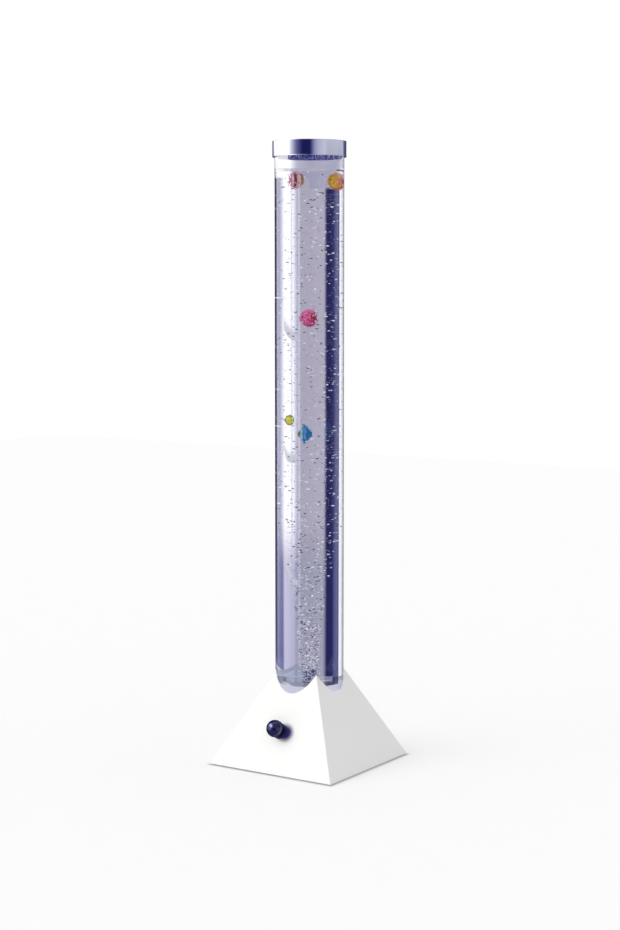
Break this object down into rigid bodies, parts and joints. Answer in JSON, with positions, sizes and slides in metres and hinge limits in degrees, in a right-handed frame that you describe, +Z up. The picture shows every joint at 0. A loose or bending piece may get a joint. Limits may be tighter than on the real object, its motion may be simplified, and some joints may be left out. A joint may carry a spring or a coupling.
{
  "type": "bubble tube floor lamp",
  "caption": "Free-standing bubble tube lamp: a clear water column with floating fish, chrome cap and a four-sided pyramid base holding lamps, an air pump and a push ball.",
  "frame": {"origin": "on the floor under the tube's axis, at the underside of the feet", "axes": "+Z up along the tube, the face with the push ball looks towards -Y"},
  "size_m": [0.21, 0.21, 0.902],
  "materials": {
    "white_shell": "moulded white ABS, glossy",
    "white_inner": "moulded white ABS, matt",
    "black_plastic": "moulded black plastic, fine matt",
    "grey_plastic": "moulded grey plastic, matt",
    "dark_rubber": "moulded rubber, matt",
    "grey_rubber": "moulded silicone rubber",
    "clear_acrylic": "clear extruded acrylic, polished",
    "clear_hose": "clear silicone hose",
    "bright_chrome": "bright chrome plate",
    "navy_gloss": "deep navy moulded plastic, high gloss",
    "navy_satin": "navy moulded plastic, satin",
    "steel": "zinc-plated steel",
    "laminations": "stacked silicon steel",
    "copper": "enamelled copper winding under clear tape",
    "board_white": "white solder mask",
    "board_green": "green solder mask",
    "lamp_lens": "moulded lamp bodies with clear domes",
    "stone": "sintered grit, matt",
    "fish_red_white": "soft plastic, painted red and white stripes",
    "fish_yellow_red": "soft plastic, painted yellow with a red tail",
    "fish_rose": "soft plastic, painted rose with dark spots",
    "fish_lime": "soft plastic, painted lemon with olive spots",
    "fish_sky": "soft plastic, painted blue with a pale face"
  },
  "bodies": {
    "lamp": {"base_shell": "white_shell", "base_cover": "white_inner", "cover_screws": "steel", "rubber_feet": "dark_rubber", "tube": "clear_acrylic", "tube_floor": "clear_acrylic", "tube_flange": "clear_acrylic", "tube_gasket": "grey_rubber", "tube_clamp": "white_inner", "clamp_screws": "steel", "led_carrier": "white_inner", "led_board": "board_white", "leds": "lamp_lens", "led_screws": "steel", "air_nipple": "white_inner", "nipple_seal": "grey_rubber", "nipple_nut": "white_inner", "air_stone": "stone", "check_valve": "grey_plastic", "valve_flap": "grey_rubber", "lower_hose": "clear_hose", "upper_hose": "clear_hose", "pump_case": "grey_plastic", "pump_lid": "grey_plastic", "pump_screws": "steel", "pump_grommets": "dark_rubber", "valve_block": "black_plastic", "block_flap": "grey_rubber", "bellows": "dark_rubber", "arm_mount": "grey_plastic", "arm_pin": "steel", "pump_core": "laminations", "core_cradle": "grey_plastic", "pump_coil": "copper", "button_collar": "navy_satin", "ring_nut": "black_plastic", "push_switch": "black_plastic", "switch_bracket": "steel", "switch_screws": "steel", "dc_jack": "black_plastic", "jack_nut": "steel", "control_board": "board_green", "control_parts": "black_plastic", "control_screws": "steel"},
    "cap": {"cap_shell": "bright_chrome", "cap_plug": "navy_satin", "cap_pads": "dark_rubber"},
    "button": {"ball_button": "navy_gloss", "button_clip": "steel", "switch_plunger": "black_plastic"},
    "arm": {"pump_arm": "black_plastic", "arm_magnet": "steel"},
    "striped_fish": {"fish_striped": "fish_red_white"},
    "yellow_fish": {"fish_yellow": "fish_yellow_red"},
    "pink_fish": {"fish_pink": "fish_rose"},
    "lemon_fish": {"fish_lemon": "fish_lime"},
    "blue_fish": {"fish_blue": "fish_sky"}
  },
  "joints": [
    {"name": "cap_lift", "type": "slide", "parent": "lamp", "child": "cap", "axis": [0, 0, 1], "range_m": [0, 0.06]},
    {"name": "button_press", "type": "slide", "parent": "lamp", "child": "button", "axis": [0, 0.8905, -0.455], "range_m": [0, 0.002], "stiffness_N_per_m": 900, "springref_m": -0.0006},
    {"name": "pump_arm_swing", "type": "hinge", "parent": "lamp", "child": "arm", "pos_m": [-0.034, 0.047, 0.031], "axis": [0, 1, 0], "range_deg": [-1.5, 1.5], "stiffness_Nm_per_rad": 2.2, "springref_deg": -0.17, "deforming": ["bellows"]},
    {"name": "striped_fish_rise", "type": "slide", "parent": "lamp", "child": "striped_fish", "axis": [0, 0, 1], "range_m": [-0.7116, 0.0005]},
    {"name": "yellow_fish_rise", "type": "slide", "parent": "lamp", "child": "yellow_fish", "axis": [0, 0, 1], "range_m": [-0.7091, 0.002]},
    {"name": "pink_fish_rise", "type": "slide", "parent": "lamp", "child": "pink_fish", "axis": [0, 0, 1], "range_m": [-0.5144, 0.1957]},
    {"name": "lemon_fish_rise", "type": "slide", "parent": "lamp", "child": "lemon_fish", "axis": [0, 0, 1], "range_m": [-0.3723, 0.3488]},
    {"name": "blue_fish_rise", "type": "slide", "parent": "lamp", "child": "blue_fish", "axis": [0, 0, 1], "range_m": [-0.3441, 0.364]}
  ]
}
